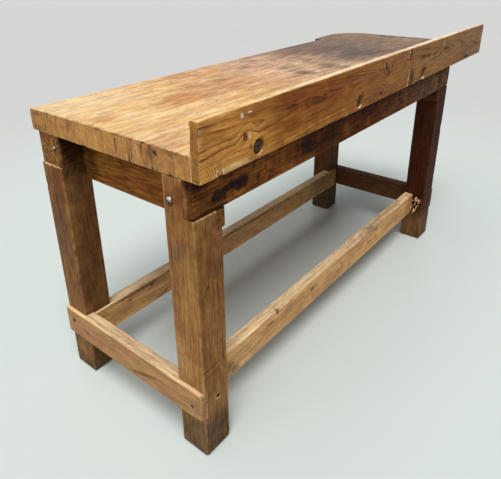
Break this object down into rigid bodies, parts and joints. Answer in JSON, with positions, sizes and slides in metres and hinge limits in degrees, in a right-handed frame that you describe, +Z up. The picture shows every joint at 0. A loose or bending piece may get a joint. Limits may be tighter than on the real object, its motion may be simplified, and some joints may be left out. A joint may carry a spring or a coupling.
{
  "type": "carpenters workbench",
  "caption": "Heavy timber workbench on square posts with low stretchers, a thick glued stave top with a rounded ear at one end, and a tall bolted fence along its front edge.",
  "frame": {"origin": "middle of the overall box in plan, at floor level under the feet", "axes": "+X along the bench towards the end where the top and the fence overhang, +Y from the fence towards the back edge, +Z up"},
  "size_m": [1.8205, 0.6594, 0.915],
  "materials": {
    "top": "worn and stained softwood, dry, darker towards the far end",
    "fence": "aged golden brown pine, lightly polished by use",
    "legs": "aged brown softwood, matt",
    "rails": "dark brown softwood with stains, matt",
    "stretchers": "paler, newer softwood, matt",
    "dowels": "plain beech",
    "bright_steel": "worn bright steel",
    "dark_steel": "dark, lightly rusted steel"
  },
  "bodies": {
    "root": {"top_stave_1": "top", "top_stave_2": "top", "top_stave_3": "top", "top_stave_4": "top", "top_stave_5": "top", "top_stave_6": "top", "front_fence": "fence", "fence_coach_screw_1": "dark_steel", "fence_coach_screw_2": "dark_steel", "fence_coach_screw_3": "dark_steel", "fence_washer_1": "dark_steel", "fence_washer_2": "dark_steel", "fence_washer_3": "dark_steel", "near_front_leg": "legs", "near_back_leg": "legs", "far_front_leg": "legs", "far_back_leg": "legs", "front_apron": "rails", "back_rail": "rails", "near_end_apron": "rails", "far_end_apron": "rails", "near_end_stretcher": "stretchers", "far_end_stretcher": "stretchers", "front_long_stretcher": "stretchers", "back_long_stretcher": "stretchers", "near_apron_bolt": "bright_steel", "near_apron_bolt_washer": "bright_steel", "near_apron_bolt_nut": "bright_steel", "far_apron_bolt": "bright_steel", "far_apron_bolt_washer": "bright_steel", "far_apron_bolt_nut": "bright_steel", "near_back_rail_screw": "bright_steel", "far_back_rail_screw": "bright_steel", "near_front_end_stretcher_screw": "dark_steel", "near_back_end_stretcher_screw": "dark_steel", "far_front_end_stretcher_screw": "dark_steel", "far_back_end_stretcher_screw": "dark_steel", "near_front_long_stretcher_screw": "dark_steel", "near_back_long_stretcher_screw": "dark_steel", "far_front_long_stretcher_screw": "dark_steel", "far_back_long_stretcher_screw": "dark_steel", "near_front_top_dowel": "dowels", "near_back_top_dowel": "dowels", "far_front_top_dowel": "dowels", "far_back_top_dowel": "dowels", "near_apron_peg": "dowels", "far_apron_peg": "dowels"}
  },
  "joints": []
}
